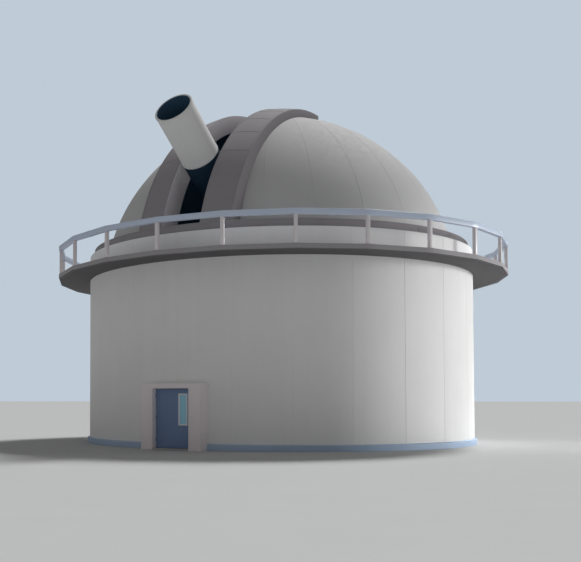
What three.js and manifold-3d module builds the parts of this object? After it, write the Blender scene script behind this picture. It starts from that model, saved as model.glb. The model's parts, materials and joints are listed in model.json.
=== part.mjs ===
// Observatory dome: a round masonry drum with a door portal and a railed balcony,
// a turning dome with an open slit between two raised bands, and a telescope in the slit.
// Millimetres, +Z up. The origin is on the drum's axis at ground level.
// The front, with the door and at rest the slit, faces -Y.

import * as THREE from 'three';
import { mergeVertices } from 'three/addons/utils/BufferGeometryUtils.js';
import Module from 'manifold-3d';

const wasm = await Module();
wasm.setup();

// Fits
const SEAT_GAP = 0.3;
const MOVING_GAP = 10;
const DEGREE = Math.PI / 180;
const FULL_TURN = 360;
const FACET_ANGLE = 5;
const SMALL_SIDES = 24;
const CUT_MARGIN = 10;
const TINY_ANGLE = 1e-6;
const MERGE_DISTANCE = 1e-3;

// Drum
const DRUM_RADIUS = 7750;
const WALL_THICKNESS = 400;
const WALL_TOP = 7475;
const WALL_SECTORS = 6;
const FLOOR_TOP = 60;
const PLINTH_RADIUS = 7835;
const PLINTH_TOP = 230;
const PLINTH_SECTIONS = 3;

// Door portal
const DOORWAY_WIDTH = 1450;
const DOORWAY_TOP = 2094;
const JAMB_WIDTH = 468;
const PORTAL_FRONT = 8188;
const LINTEL_HEIGHT = 170;
const PORTAL_ROOT = 200;
const SILL_ROOT = 100;

// Door
const LEAF_THICKNESS = 60;
const LEAF_SETBACK = 232;
const LEAF_FRONT = PORTAL_FRONT - LEAF_SETBACK;
const LEAF_BOTTOM = FLOOR_TOP + MOVING_GAP;
const LEAF_TOP = DOORWAY_TOP - MOVING_GAP;
const HINGE_SIDE_GAP = 12;
const LATCH_SIDE_GAP = 8;
const HINGE_PROUD = 16;
const HINGE_OFFSET = 20;
const KNUCKLE_RADIUS = 12;
const KNUCKLE_HEIGHT = 90;
const HINGE_PLATE_WIDTH = 120;
const HINGE_PLATE_THICKNESS = 5;
const LUG_RADIUS = 10;
const LUG_HEIGHT = 60;
const HINGE_HEIGHTS = [300, 1080, 1820];
const PANEL_LEFT = 196;
const PANEL_RIGHT = 560;
const PANEL_BOTTOM = 839;
const PANEL_TOP = 1923;
const PANEL_BORDER = 56;
const PANEL_SLEEVE = 22;
const PANEL_PROUD = 12;
const GLASS_THICKNESS = 12;
const HANDLE_X = 640;
const HANDLE_Z = 1020;
const HANDLE_ROSE_RADIUS = 28;
const HANDLE_ROSE_THICKNESS = 10;
const HANDLE_STEM_RADIUS = 9;
const HANDLE_STEM_LENGTH = 50;
const HANDLE_LEVER_LENGTH = 120;
const HANDLE_LEVER_HEIGHT = 20;
const HANDLE_LEVER_THICKNESS = 14;

// Balcony
const DECK_RADIUS = 9060;
const DECK_BOTTOM = 6520;
const DECK_TOP = 6680;
const POST_COUNT = 24;
const POST_WIDTH = 120;
const POST_SETBACK = 4;
const POST_SUNK = 20;
const RAIL_BOTTOM = 7611;
const RAIL_TOP = 7795;
const RAIL_WIDTH = 170;
const RAILING_SECTIONS = 6;

// Track and wheels that carry the dome
const TRACK_RADIUS = 7410;
const TRACK_WIDTH = 100;
const TRACK_TOP = 7500;
const WHEEL_COUNT = 16;
const WHEEL_SIDES = 16;
const WHEEL_SUNK = 5;
const WHEEL_WIDTH = 90;
const RING_UNDERSIDE = 7605;

// Dome
const RING_RADIUS = 7572;
const RING_INNER_RADIUS = 6800;
const RING_SKIRT_RADIUS = 7500;
const RING_TOP = 7775;
const DOME_FOOT_RADIUS = 6968;
const DOME_TOP = 13244;
const SHELL_THICKNESS = 90;
const SLIT_HALF_WIDTH = 775;
const BAND_OUTER_EDGE = 1899;
const BAND_FOOT_RADIUS = 7570;
const BAND_TOP = 13517;
const BAND_SHEET = 70;
const BAND_STEPS = 96;
const BAND_PROFILE_STEPS = 3;
const BAND_CORE_RADIUS = 5700;
const CHEEK_INNER_RADIUS = 6780;
const SLIT_HEAD_DEPTH = 120;
const SLIT_HEAD_DROP = 200;
const OUTER_MERIDIAN_STEPS = 12;
const INNER_MERIDIAN_STEPS = 8;
const INNER_SIDES = 48;

// The dome is a cap of a sphere; its radius follows from the foot radius and the height.
const DOME_RISE = DOME_TOP - RING_TOP;
const DOME_SPHERE_RADIUS = (DOME_FOOT_RADIUS ** 2 + DOME_RISE ** 2) / (2 * DOME_RISE);
const DOME_CENTRE_Z = DOME_TOP - DOME_SPHERE_RADIUS;

// The bands' outer face is a larger sphere that passes through their foot and their top.
const BAND_RISE = BAND_TOP - RING_TOP;
const BAND_SPHERE_RADIUS = (BAND_FOOT_RADIUS ** 2 + BAND_RISE ** 2) / (2 * BAND_RISE);
const BAND_CENTRE_Z = BAND_TOP - BAND_SPHERE_RADIUS;

// Telescope
const REST_ELEVATION = 35.5;
const PIVOT_Z = 6070;
const BARREL_RADIUS = 700;
const BARREL_WALL = 50;
const BARREL_FRONT = 9800;
const BARREL_REAR = 2550;
const MOUTH_RADIUS = 560;
const MOUTH_LIP = 60;
const BARREL_SIDES = 48;
const CELL_RADIUS = 750;
const CELL_LENGTH = 350;
const CELL_LAP = 150;
const COLLAR_RADIUS = 750;
const COLLAR_HALF_LENGTH = 480;
const TRUNNION_RADIUS = 180;
const TRUNNION_END = 1150;
const TRUNNION_ROOT = 30;
const TRUNNION_SIDES = 36;
const TRUNNION_CLEARANCE = 1.05;

// Fork mount and pier
const PIER_RADIUS = 1200;
const PIER_TOP = 2550;
const PIER_SIDES = 36;
const SPINDLE_RADIUS = 500;
const SPINDLE_SUNK = 10;
const FORK_BASE_RADIUS = 1500;
const FORK_BASE_BOTTOM = 2600;
const FORK_BASE_TOP = 2900;
const ARM_INNER_X = 805;
const ARM_OUTER_X = 1105;
const ARM_FOOT_WIDTH = 1700;
const ARM_HEAD_RADIUS = 420;
const ARM_HEAD_STEPS = 16;

const finish = (color, roughness, metalness) => (
  new THREE.MeshStandardMaterial({ color, roughness, metalness })
);
const renderWhite = () => finish(0xf2f2f0, 0.85, 0);
const portalGrey = () => finish(0xe9e4e4, 0.8, 0);
const plinthBlue = () => finish(0x9aabc3, 0.7, 0);
const concreteGrey = () => finish(0xa9a9a6, 0.9, 0);
const deckGrey = () => finish(0x9d999b, 0.7, 0);
const railBlue = () => finish(0xc7d3e6, 0.45, 0.4);
const trackSteel = () => finish(0x6f7376, 0.4, 0.9);
const bandGrey = () => finish(0x99959a, 0.6, 0.2);
const domeGrey = () => finish(0xc9c9c9, 0.55, 0.2);
const tubeWhite = () => finish(0xf0f0ee, 0.4, 0.1);
const forkGrey = () => finish(0x50565e, 0.5, 0.5);
const doorNavy = () => finish(0x6c80a6, 0.5, 0);
const frameGrey = () => finish(0xd9dde2, 0.4, 0.3);
const handleSteel = () => finish(0xc0c2c4, 0.25, 1);

const observatory = new THREE.Group();
const dome = new THREE.Group();
const fork = new THREE.Group();
const telescope = new THREE.Group();
const door = new THREE.Group();
observatory.add(dome, fork, telescope, door);

// The telescope's own axis is +Z before it is tilted from upright down to its rest elevation.
const TELESCOPE_TILT = (90 - REST_ELEVATION) * DEGREE;
telescope.position.set(0, 0, PIVOT_Z);
telescope.rotation.x = TELESCOPE_TILT;

// A closed geometry as a solid that can be joined and cut.
function solidFrom(geometry) {
  const bare = geometry.index ? geometry.toNonIndexed() : geometry.clone();
  bare.deleteAttribute('normal');
  bare.deleteAttribute('uv');
  const merged = mergeVertices(bare, MERGE_DISTANCE);
  const vertProperties = new Float32Array(merged.attributes.position.array);
  const corners = merged.index.array;
  const kept = [];
  for (let i = 0; i < corners.length; i += 3) {
    const [a, b, c] = [corners[i], corners[i + 1], corners[i + 2]];
    if (a !== b && b !== c && c !== a) kept.push(a, b, c);
  }
  if (signedVolume(vertProperties, kept) < 0) kept.reverse();
  const triVerts = new Uint32Array(kept);
  return new wasm.Manifold(new wasm.Mesh({ numProp: 3, vertProperties, triVerts }));
}

function signedVolume(positions, corners) {
  const [a, b, c] = [new THREE.Vector3(), new THREE.Vector3(), new THREE.Vector3()];
  let volume = 0;
  for (let i = 0; i < corners.length; i += 3) {
    a.fromArray(positions, corners[i] * 3);
    b.fromArray(positions, corners[i + 1] * 3);
    c.fromArray(positions, corners[i + 2] * 3);
    volume += a.dot(b.cross(c)) / 6;
  }
  return volume;
}

function geometryFrom(solid) {
  const mesh = solid.getMesh();
  const geometry = new THREE.BufferGeometry();
  geometry.setAttribute('position', new THREE.Float32BufferAttribute(mesh.vertProperties, 3));
  geometry.setIndex(Array.from(mesh.triVerts));
  return geometry;
}

function add(parent, name, solid, material) {
  const mesh = new THREE.Mesh(geometryFrom(solid), material);
  mesh.name = name;
  parent.add(mesh);
  return mesh;
}

const joined = (...solids) => solids.reduce((whole, piece) => whole.add(piece));

// A point on a circle round the axis; the angle runs from the front, -Y, towards +X.
const onCircle = (radius, angle) => (
  new THREE.Vector2(radius * Math.sin(angle * DEGREE), -radius * Math.cos(angle * DEGREE))
);

function block(xLow, xHigh, yLow, yHigh, zLow, zHigh) {
  const box = new THREE.BoxGeometry(xHigh - xLow, yHigh - yLow, zHigh - zLow);
  box.translate((xLow + xHigh) / 2, (yLow + yHigh) / 2, (zLow + zHigh) / 2);
  return solidFrom(box);
}

// An outline in plan, raised from one height to another.
function prism(points, zLow, zHigh, holePoints) {
  const shape = new THREE.Shape(points);
  if (holePoints) shape.holes.push(new THREE.Path(holePoints));
  const geometry = new THREE.ExtrudeGeometry(shape, { depth: zHigh - zLow, bevelEnabled: false });
  geometry.translate(0, 0, zLow);
  return solidFrom(geometry);
}

function arcPoints(radius, from, to, step = FACET_ANGLE) {
  const points = [onCircle(radius, from)];
  const first = Math.ceil(from / step + TINY_ANGLE) * step;
  for (let angle = first; angle < to - TINY_ANGLE; angle += step) {
    points.push(onCircle(radius, angle));
  }
  points.push(onCircle(radius, to));
  return points;
}

const polygonPoints = (radius, sides) => (
  Array.from({ length: sides }, (unused, i) => onCircle(radius, (i * FULL_TURN) / sides))
);

// A stretch of a round wall, held back at both ends by half a seat gap.
function ringSector(inner, outer, zLow, zHigh, from, to) {
  const inset = SEAT_GAP / 2 / inner / DEGREE;
  const outside = arcPoints(outer, from + inset, to - inset);
  const inside = arcPoints(inner, from + inset, to - inset).reverse();
  return prism([...outside, ...inside], zLow, zHigh);
}

const disc = (radius, zLow, zHigh, sides = FULL_TURN / FACET_ANGLE) => (
  prism(polygonPoints(radius, sides), zLow, zHigh)
);

function ring(inner, outer, zLow, zHigh, outerSides = FULL_TURN / FACET_ANGLE) {
  const hole = polygonPoints(inner, FULL_TURN / FACET_ANGLE);
  return prism(polygonPoints(outer, outerSides), zLow, zHigh, hole);
}

// A profile of radius and height turned round the vertical axis.
function turned(profile, sides = FULL_TURN / FACET_ANGLE) {
  const points = profile.map(([radius, height]) => new THREE.Vector2(radius, height));
  const geometry = new THREE.LatheGeometry(points, sides);
  geometry.rotateX(Math.PI / 2);
  return solidFrom(geometry);
}

const closedTurned = (profile, sides) => turned([...profile, profile[0]], sides);

// A cap of a sphere, flat below, whose foot is at the given height. It can be grown
// outwards with its facets kept in line, and carried down below its foot by a skirt.
function sphereCap(radius, centreZ, footZ, steps, sides, { grown = 0, skirt = 0 } = {}) {
  const low = Math.asin((footZ - centreZ) / radius);
  const outer = radius + grown;
  const profile = [[0, footZ - skirt]];
  if (skirt > 0) profile.push([outer * Math.cos(low), footZ - skirt]);
  for (let i = 0; i < steps; i += 1) {
    const climb = low + ((Math.PI / 2 - low) * i) / steps;
    profile.push([outer * Math.cos(climb), centreZ + outer * Math.sin(climb)]);
  }
  profile.push([0, centreZ + outer]);
  return turned(profile, sides);
}

// A cylinder along X.
function crossPin(radius, xLow, xHigh, sides) {
  const cylinder = new THREE.CylinderGeometry(radius, radius, xHigh - xLow, sides);
  cylinder.rotateZ(Math.PI / 2);
  cylinder.translate((xLow + xHigh) / 2, 0, 0);
  return solidFrom(cylinder);
}

// Drum floor, plinth and wall
const wallInner = DRUM_RADIUS - WALL_THICKNESS;
const doorHalf = DOORWAY_WIDTH / 2;
const portalHalf = doorHalf + JAMB_WIDTH;

function buildFloor() {
  add(observatory, 'floor_slab', disc(wallInner - SEAT_GAP, 0, FLOOR_TOP), concreteGrey());
}

function buildPlinth() {
  const sweep = FULL_TURN / PLINTH_SECTIONS;
  const portalSpace = block(
    -portalHalf - SEAT_GAP, portalHalf + SEAT_GAP, -PORTAL_FRONT, 0,
    -CUT_MARGIN, PLINTH_TOP + CUT_MARGIN,
  );
  for (let i = 0; i < PLINTH_SECTIONS; i += 1) {
    const inner = DRUM_RADIUS + SEAT_GAP;
    const section = ringSector(inner, PLINTH_RADIUS, 0, PLINTH_TOP, i * sweep, (i + 1) * sweep);
    add(observatory, `plinth_${i + 1}`, section.subtract(portalSpace), plinthBlue());
  }
}

function buildWall() {
  const sweep = FULL_TURN / WALL_SECTORS;
  for (let i = 1; i < WALL_SECTORS; i += 1) {
    const from = (i - 0.5) * sweep;
    const sector = ringSector(wallInner, DRUM_RADIUS, 0, WALL_TOP, from, from + sweep);
    add(observatory, `drum_wall_${i}`, sector, renderWhite());
  }
  const front = ringSector(wallInner, DRUM_RADIUS, 0, WALL_TOP, -sweep / 2, sweep / 2);
  const far = DRUM_RADIUS + CUT_MARGIN;
  const top = WALL_TOP + CUT_MARGIN;
  const left = front.intersect(block(-far, -doorHalf, -far, 0, -CUT_MARGIN, top));
  const right = front.intersect(block(doorHalf, far, -far, 0, -CUT_MARGIN, top));
  const inside = doorHalf - SEAT_GAP;
  const over = front.intersect(block(-inside, inside, -far, 0, DOORWAY_TOP, top));
  add(observatory, 'drum_wall_door_left', left, renderWhite());
  add(observatory, 'drum_wall_door_right', right, renderWhite());
  add(observatory, 'drum_wall_over_door', over, renderWhite());
}

// Portal round the door. The left jamb carries the three hinge lugs.
const hingeX = -doorHalf + HINGE_OFFSET;
const hingeY = -LEAF_FRONT - HINGE_PROUD;

function hingeLug(bottom) {
  const top = bottom + LUG_HEIGHT;
  const arm = block(
    -doorHalf - LUG_RADIUS, hingeX, hingeY - LUG_RADIUS, hingeY + LUG_RADIUS, bottom, top,
  );
  const end = disc(LUG_RADIUS, bottom, top, SMALL_SIDES).translate([hingeX, hingeY, 0]);
  return arm.add(end);
}

function buildPortal() {
  const lintelBottom = DOORWAY_TOP + SEAT_GAP;
  const lintelTop = DOORWAY_TOP + LINTEL_HEIGHT;
  const wallSpace = disc(DRUM_RADIUS + SEAT_GAP, -CUT_MARGIN, lintelTop + CUT_MARGIN);
  const back = -DRUM_RADIUS + PORTAL_ROOT;
  const lugs = HINGE_HEIGHTS.map((height) => hingeLug(height - LUG_HEIGHT));
  const left = block(-portalHalf, -doorHalf, -PORTAL_FRONT, back, 0, DOORWAY_TOP);
  const right = block(doorHalf, portalHalf, -PORTAL_FRONT, back, 0, DOORWAY_TOP);
  const lintel = block(-portalHalf, portalHalf, -PORTAL_FRONT, back, lintelBottom, lintelTop);
  add(observatory, 'portal_jamb_left', joined(left.subtract(wallSpace), ...lugs), portalGrey());
  add(observatory, 'portal_jamb_right', right.subtract(wallSpace), portalGrey());
  add(observatory, 'portal_lintel', lintel.subtract(wallSpace), portalGrey());
  const inside = doorHalf - SEAT_GAP;
  const sill = block(-inside, inside, -PORTAL_FRONT, -wallInner + SILL_ROOT, 0, FLOOR_TOP);
  const threshold = sill.subtract(disc(wallInner, -CUT_MARGIN, FLOOR_TOP + CUT_MARGIN));
  add(observatory, 'door_threshold', threshold, concreteGrey());
}

// Door leaf with its glazed panel, handle and hinges, drawn closed.
const leafBack = -LEAF_FRONT + LEAF_THICKNESS;
const stemHole = HANDLE_STEM_RADIUS + SEAT_GAP;

function alongY(radius, yLow, yHigh, x, z, sides) {
  const cylinder = new THREE.CylinderGeometry(radius, radius, yHigh - yLow, sides);
  cylinder.translate(x, (yLow + yHigh) / 2, z);
  return solidFrom(cylinder);
}

function buildDoorLeaf() {
  const [before, behind] = [-LEAF_FRONT - CUT_MARGIN, leafBack + CUT_MARGIN];
  const leaf = block(
    -doorHalf + HINGE_SIDE_GAP, doorHalf - LATCH_SIDE_GAP, -LEAF_FRONT, leafBack,
    LEAF_BOTTOM, LEAF_TOP,
  );
  const edge = PANEL_BORDER - PANEL_SLEEVE - SEAT_GAP;
  const cutOut = block(
    PANEL_LEFT + edge, PANEL_RIGHT - edge, before, behind, PANEL_BOTTOM + edge, PANEL_TOP - edge,
  );
  const bore = alongY(stemHole, before, behind, HANDLE_X, HANDLE_Z, SMALL_SIDES);
  add(door, 'door_leaf', leaf.subtract(cutOut).subtract(bore), doorNavy());
}

function buildDoorPanel() {
  const face = -LEAF_FRONT - SEAT_GAP;
  const flange = block(
    PANEL_LEFT, PANEL_RIGHT, face - PANEL_PROUD, face, PANEL_BOTTOM, PANEL_TOP,
  );
  const sleeveEdge = PANEL_BORDER - PANEL_SLEEVE;
  const sleeve = block(
    PANEL_LEFT + sleeveEdge, PANEL_RIGHT - sleeveEdge, face - PANEL_PROUD, leafBack,
    PANEL_BOTTOM + sleeveEdge, PANEL_TOP - sleeveEdge,
  );
  const light = block(
    PANEL_LEFT + PANEL_BORDER, PANEL_RIGHT - PANEL_BORDER,
    face - PANEL_PROUD - CUT_MARGIN, leafBack + CUT_MARGIN,
    PANEL_BOTTOM + PANEL_BORDER, PANEL_TOP - PANEL_BORDER,
  );
  add(door, 'door_window_frame', flange.add(sleeve).subtract(light), frameGrey());
  const paneEdge = PANEL_BORDER + SEAT_GAP;
  const paneY = -LEAF_FRONT + LEAF_THICKNESS / 2;
  const pane = block(
    PANEL_LEFT + paneEdge, PANEL_RIGHT - paneEdge, paneY - GLASS_THICKNESS / 2,
    paneY + GLASS_THICKNESS / 2, PANEL_BOTTOM + paneEdge, PANEL_TOP - paneEdge,
  );
  const glass = new THREE.MeshStandardMaterial({
    color: 0x9fd0e6, roughness: 0.05, metalness: 0, transparent: true, opacity: 0.5,
  });
  add(door, 'door_window_glass', pane, glass);
}

function handleSide(faceY, outward) {
  const span = (from, to) => [faceY + outward * from, faceY + outward * to].sort((a, b) => a - b);
  const rose = alongY(
    HANDLE_ROSE_RADIUS, ...span(SEAT_GAP, HANDLE_ROSE_THICKNESS), HANDLE_X, HANDLE_Z, SMALL_SIDES,
  );
  const lever = block(
    HANDLE_X - HANDLE_LEVER_LENGTH, HANDLE_X + HANDLE_STEM_RADIUS,
    ...span(HANDLE_STEM_LENGTH - HANDLE_LEVER_THICKNESS, HANDLE_STEM_LENGTH),
    HANDLE_Z - HANDLE_LEVER_HEIGHT / 2, HANDLE_Z + HANDLE_LEVER_HEIGHT / 2,
  );
  return joined(rose, lever);
}

function buildDoorHandle() {
  const spindle = alongY(
    HANDLE_STEM_RADIUS, -LEAF_FRONT - HANDLE_STEM_LENGTH, leafBack + HANDLE_STEM_LENGTH,
    HANDLE_X, HANDLE_Z, SMALL_SIDES,
  );
  const handle = joined(spindle, handleSide(-LEAF_FRONT, -1), handleSide(leafBack, 1));
  add(door, 'door_handle', handle, handleSteel());
}

function buildDoorHinges() {
  HINGE_HEIGHTS.forEach((height, i) => {
    const low = height + SEAT_GAP;
    const high = low + KNUCKLE_HEIGHT;
    const knuckle = disc(KNUCKLE_RADIUS, low, high, SMALL_SIDES).translate([hingeX, hingeY, 0]);
    const face = -LEAF_FRONT - SEAT_GAP;
    const plate = block(
      hingeX, hingeX + HINGE_PLATE_WIDTH, face - HINGE_PLATE_THICKNESS, face, low, high,
    );
    add(door, `door_hinge_${i + 1}`, knuckle.add(plate), handleSteel());
  });
}

// Balcony: the deck's edge and the rail are straight from post to post.
const bay = FULL_TURN / POST_COUNT;

function buildDeck() {
  const deck = ring(DRUM_RADIUS + SEAT_GAP, DECK_RADIUS, DECK_BOTTOM, DECK_TOP, POST_COUNT);
  add(observatory, 'balcony_deck', deck, deckGrey());
}

function railingSection(firstPost, posts) {
  const flat = Math.cos((bay / 2) * DEGREE);
  const innerRadius = DECK_RADIUS - RAIL_WIDTH / flat;
  const from = (firstPost - 0.5) * bay;
  const to = from + posts * bay;
  const inset = SEAT_GAP / 2 / innerRadius / DEGREE;
  const postAngle = (i) => (firstPost + i) * bay;
  const corners = (radius) => {
    const ends = [onCircle(radius * flat, from + inset), onCircle(radius * flat, to - inset)];
    const bends = Array.from({ length: posts }, (unused, i) => onCircle(radius, postAngle(i)));
    return [ends[0], ...bends, ends[1]];
  };
  const outline = [...corners(DECK_RADIUS), ...corners(innerRadius).reverse()];
  const rail = prism(outline, RAIL_BOTTOM, RAIL_TOP);
  const postCentre = DECK_RADIUS - RAIL_WIDTH / 2 - POST_SETBACK;
  const uprights = Array.from({ length: posts }, (unused, i) => {
    const half = POST_WIDTH / 2;
    const [low, high] = [DECK_TOP + SEAT_GAP, RAIL_BOTTOM + POST_SUNK];
    const upright = block(-half, half, -postCentre - half, -postCentre + half, low, high);
    return upright.rotate([0, 0, postAngle(i)]);
  });
  return joined(rail, ...uprights);
}

function buildRailing() {
  const posts = POST_COUNT / RAILING_SECTIONS;
  for (let i = 0; i < RAILING_SECTIONS; i += 1) {
    const section = railingSection(i * posts - 1, posts);
    add(observatory, `balcony_railing_${i + 1}`, section, railBlue());
  }
}

// Track on the wall top with the wheels that the dome runs on
function buildTrack() {
  const half = TRACK_WIDTH / 2;
  const low = WALL_TOP + SEAT_GAP;
  const rail = ring(TRACK_RADIUS - half, TRACK_RADIUS + half, low, TRACK_TOP);
  const wheelTop = RING_UNDERSIDE - SEAT_GAP;
  const radius = (wheelTop - TRACK_TOP + WHEEL_SUNK) / 2;
  const wheels = Array.from({ length: WHEEL_COUNT }, (unused, i) => {
    const cylinder = new THREE.CylinderGeometry(radius, radius, WHEEL_WIDTH, WHEEL_SIDES);
    cylinder.translate(0, -TRACK_RADIUS, wheelTop - radius);
    cylinder.rotateZ(((i * FULL_TURN) / WHEEL_COUNT) * DEGREE);
    return solidFrom(cylinder);
  });
  add(observatory, 'dome_track', joined(rail, ...wheels), trackSteel());
}

// Turning dome
function buildBaseRing() {
  const profile = [
    [RING_INNER_RADIUS, RING_UNDERSIDE],
    [RING_SKIRT_RADIUS, RING_UNDERSIDE],
    [RING_SKIRT_RADIUS, WALL_TOP + MOVING_GAP],
    [RING_RADIUS, WALL_TOP + MOVING_GAP],
    [RING_RADIUS, RING_TOP],
    [RING_INNER_RADIUS, RING_TOP],
  ];
  add(dome, 'dome_base_ring', closedTurned(profile), bandGrey());
}

function buildShell() {
  const foot = RING_TOP + SEAT_GAP;
  const outer = sphereCap(
    DOME_SPHERE_RADIUS, DOME_CENTRE_Z, foot, OUTER_MERIDIAN_STEPS, FULL_TURN / FACET_ANGLE,
  );
  const innerRadius = DOME_SPHERE_RADIUS - SHELL_THICKNESS;
  const inner = sphereCap(
    innerRadius, DOME_CENTRE_Z, foot - CUT_MARGIN, INNER_MERIDIAN_STEPS, INNER_SIDES,
  );
  const shell = outer.subtract(inner);
  const far = DOME_FOOT_RADIUS + CUT_MARGIN;
  const low = foot - CUT_MARGIN;
  const top = DOME_TOP + CUT_MARGIN;
  const half = SEAT_GAP / 2;
  const slitEdge = SLIT_HALF_WIDTH + BAND_SHEET + SEAT_GAP;
  const quarters = {
    left: block(-far, -slitEdge, -far, -half, low, top),
    right: block(slitEdge, far, -far, -half, low, top),
    rear_left: block(-far, -half, half, far, low, top),
    rear_right: block(half, far, half, far, low, top),
  };
  for (const [place, space] of Object.entries(quarters)) {
    add(dome, `dome_shell_${place}`, shell.intersect(space), domeGrey());
  }
}

// The bands are channels: an outer skin and two cheeks, open towards the shell. The cheek
// beside the slit runs on inwards past the shell's edge and stiffens it.
function bandFace(x, inward) {
  return Math.sqrt(BAND_SPHERE_RADIUS ** 2 - x ** 2) - inward;
}

function bandSolid(xLow, xHigh, inward) {
  const profile = [[BAND_CORE_RADIUS, xLow]];
  for (let i = 0; i <= BAND_PROFILE_STEPS; i += 1) {
    const x = xLow + ((xHigh - xLow) * i) / BAND_PROFILE_STEPS;
    profile.push([bandFace(x, inward), x]);
  }
  profile.push([BAND_CORE_RADIUS, xHigh]);
  const points = [...profile, profile[0]].map(([radius, x]) => new THREE.Vector2(radius, x));
  const geometry = new THREE.LatheGeometry(points, BAND_STEPS);
  geometry.rotateZ(-Math.PI / 2);
  geometry.translate(0, 0, BAND_CENTRE_Z);
  return solidFrom(geometry);
}

function buildBands() {
  const [low, top] = [RING_TOP + SEAT_GAP, BAND_TOP + CUT_MARGIN];
  const far = RING_RADIUS + CUT_MARGIN;
  const shellSpace = sphereCap(
    DOME_SPHERE_RADIUS, DOME_CENTRE_Z, low, OUTER_MERIDIAN_STEPS,
    FULL_TURN / FACET_ANGLE, { grown: SEAT_GAP, skirt: CUT_MARGIN },
  );
  const quarter = (back) => block(-far, far, -far, back, low, top);
  const cheekEdge = SLIT_HALF_WIDTH + BAND_SHEET;
  const whole = bandSolid(SLIT_HALF_WIDTH, BAND_OUTER_EDGE, 0);
  const hollow = bandSolid(cheekEdge, BAND_OUTER_EDGE - BAND_SHEET, BAND_SHEET);
  const channel = whole.intersect(quarter(0)).subtract(hollow.intersect(quarter(-BAND_SHEET)));
  const insideSpace = crossPin(CHEEK_INNER_RADIUS, 0, cheekEdge + CUT_MARGIN, BAND_STEPS);
  const cheekSpace = block(SLIT_HALF_WIDTH, cheekEdge, -far, 0, low, top)
    .subtract(insideSpace.translate([0, 0, DOME_CENTRE_Z]));
  const right = channel.subtract(shellSpace).add(whole.intersect(cheekSpace));
  add(dome, 'slit_band_right', right, bandGrey());
  add(dome, 'slit_band_left', right.mirror([1, 0, 0]), bandGrey());
  const inside = SLIT_HALF_WIDTH - SEAT_GAP;
  const headSolid = bandSolid(-inside, inside, 0);
  const headSpace = block(
    -far, far, -SLIT_HEAD_DEPTH, -SEAT_GAP / 2, DOME_TOP - SLIT_HEAD_DROP, top,
  );
  add(dome, 'slit_head', headSolid.intersect(headSpace), bandGrey());
}

// Telescope, drawn upright on its own axis with the pivot at the origin
function buildTelescope() {
  const bore = BARREL_RADIUS - BARREL_WALL;
  const barrel = closedTurned([
    [bore, -BARREL_REAR],
    [BARREL_RADIUS, -BARREL_REAR],
    [BARREL_RADIUS, BARREL_FRONT],
    [MOUTH_RADIUS, BARREL_FRONT],
    [MOUTH_RADIUS, BARREL_FRONT - MOUTH_LIP],
    [bore, BARREL_FRONT - MOUTH_LIP],
  ], BARREL_SIDES);
  add(telescope, 'telescope_barrel', barrel, tubeWhite());
  const cellRear = -BARREL_REAR - CELL_LENGTH + CELL_LAP;
  const cell = turned([
    [0, cellRear],
    [CELL_RADIUS, cellRear],
    [CELL_RADIUS, -BARREL_REAR + CELL_LAP],
    [BARREL_RADIUS + SEAT_GAP, -BARREL_REAR + CELL_LAP],
    [BARREL_RADIUS + SEAT_GAP, -BARREL_REAR - SEAT_GAP],
    [0, -BARREL_REAR - SEAT_GAP],
  ], BARREL_SIDES);
  add(telescope, 'mirror_cell', cell, forkGrey());
  const collar = closedTurned([
    [BARREL_RADIUS + SEAT_GAP, -COLLAR_HALF_LENGTH],
    [COLLAR_RADIUS, -COLLAR_HALF_LENGTH],
    [COLLAR_RADIUS, COLLAR_HALF_LENGTH],
    [BARREL_RADIUS + SEAT_GAP, COLLAR_HALF_LENGTH],
  ], BARREL_SIDES);
  const reach = COLLAR_RADIUS - TRUNNION_ROOT;
  const pins = joined(
    crossPin(TRUNNION_RADIUS, reach, TRUNNION_END, TRUNNION_SIDES),
    crossPin(TRUNNION_RADIUS, -TRUNNION_END, -reach, TRUNNION_SIDES),
  );
  add(telescope, 'trunnion_collar', joined(collar, pins), forkGrey());
}

// Fork mount on its pier
function forkArm(side) {
  const foot = FORK_BASE_TOP + SEAT_GAP - PIVOT_Z;
  const shape = new THREE.Shape();
  shape.moveTo(-ARM_FOOT_WIDTH / 2, foot);
  shape.lineTo(ARM_FOOT_WIDTH / 2, foot);
  shape.lineTo(ARM_HEAD_RADIUS, 0);
  shape.absarc(0, 0, ARM_HEAD_RADIUS, 0, Math.PI, false);
  shape.lineTo(-ARM_FOOT_WIDTH / 2, foot);
  const thickness = ARM_OUTER_X - ARM_INNER_X;
  const plate = new THREE.ExtrudeGeometry(shape, {
    depth: thickness, bevelEnabled: false, curveSegments: ARM_HEAD_STEPS,
  });
  plate.applyMatrix4(new THREE.Matrix4().makeBasis(
    new THREE.Vector3(0, 1, 0), new THREE.Vector3(0, 0, 1), new THREE.Vector3(1, 0, 0),
  ));
  plate.translate(side > 0 ? ARM_INNER_X : -ARM_OUTER_X, 0, 0);
  const far = ARM_OUTER_X + CUT_MARGIN;
  const bearing = crossPin(TRUNNION_RADIUS + TRUNNION_CLEARANCE, -far, far, TRUNNION_SIDES);
  return solidFrom(plate).subtract(bearing).translate([0, 0, PIVOT_Z]);
}

function buildMount() {
  const pier = disc(PIER_RADIUS, FLOOR_TOP + SEAT_GAP, PIER_TOP, PIER_SIDES);
  add(observatory, 'telescope_pier', pier, concreteGrey());
  const spindleTop = FORK_BASE_BOTTOM + SPINDLE_SUNK;
  const spindle = disc(SPINDLE_RADIUS, PIER_TOP + SEAT_GAP, spindleTop, PIER_SIDES);
  const table = disc(FORK_BASE_RADIUS, FORK_BASE_BOTTOM, FORK_BASE_TOP, PIER_SIDES);
  add(fork, 'fork_base', spindle.add(table), forkGrey());
  add(fork, 'fork_arm_left', forkArm(-1), forkGrey());
  add(fork, 'fork_arm_right', forkArm(1), forkGrey());
}

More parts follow.
